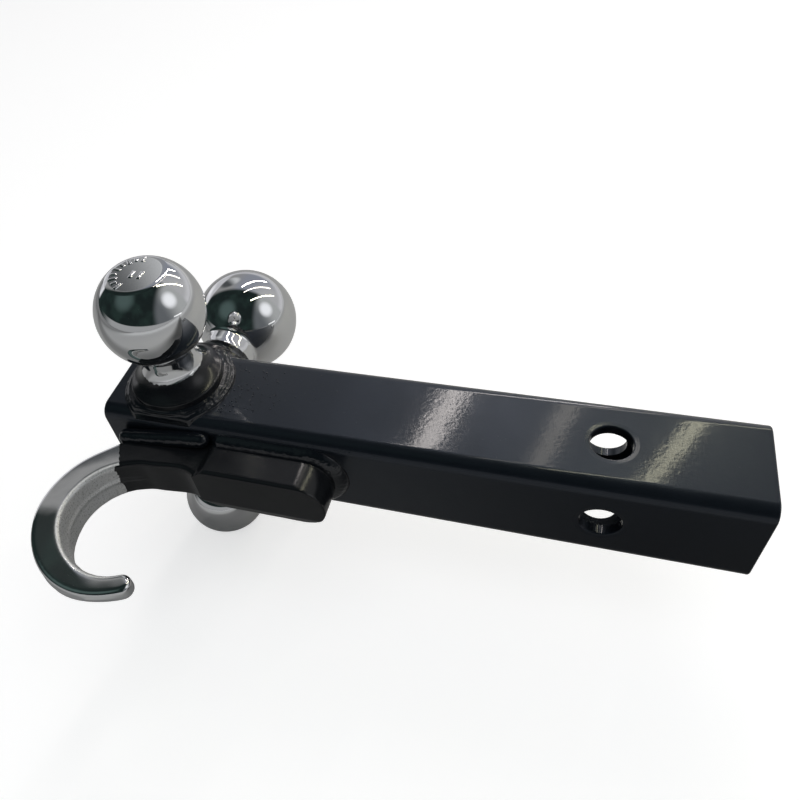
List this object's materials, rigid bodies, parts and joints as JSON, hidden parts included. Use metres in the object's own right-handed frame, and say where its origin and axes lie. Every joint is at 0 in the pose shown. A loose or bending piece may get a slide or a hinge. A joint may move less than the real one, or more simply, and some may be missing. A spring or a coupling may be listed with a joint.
{
  "type": "triple ball receiver hitch with tow hook",
  "caption": "Welded receiver hitch: hollow square shank with cross-drilled pin holes, chrome coupler balls of different sizes round its end, and a forged tow hook.",
  "frame": {"origin": "the point where the axes of the pin holes cross, on the axis of the square shank tube", "axes": "+X along the shank towards its open end, which goes into the receiver; +Z towards the 2 in ball; +Y towards the 2-5/16 in ball; -Z to the 1-7/8 in ball; the tow hook is on the -Y face"},
  "size_m": [0.3164, 0.2133, 0.1873],
  "materials": {
    "black_enamel": "gloss black enamel over welded steel, slight orange peel",
    "chrome_plate": "polished chrome plate"
  },
  "bodies": {
    "root": {"shank_tube": "black_enamel", "end_plate": "black_enamel", "end_plate_weld": "black_enamel", "ball_2in": "chrome_plate", "ball_2in_weld": "black_enamel", "ball_2_5_16in": "chrome_plate", "ball_2_5_16in_weld": "black_enamel", "ball_1_7_8in": "chrome_plate", "ball_1_7_8in_weld": "black_enamel", "tow_hook": "chrome_plate", "hook_pad_weld_upper": "black_enamel", "hook_pad_weld_nose": "black_enamel", "hook_pad_weld_lower": "black_enamel", "hook_neck_weld_upper": "black_enamel", "hook_neck_weld_lower": "black_enamel"}
  },
  "joints": []
}
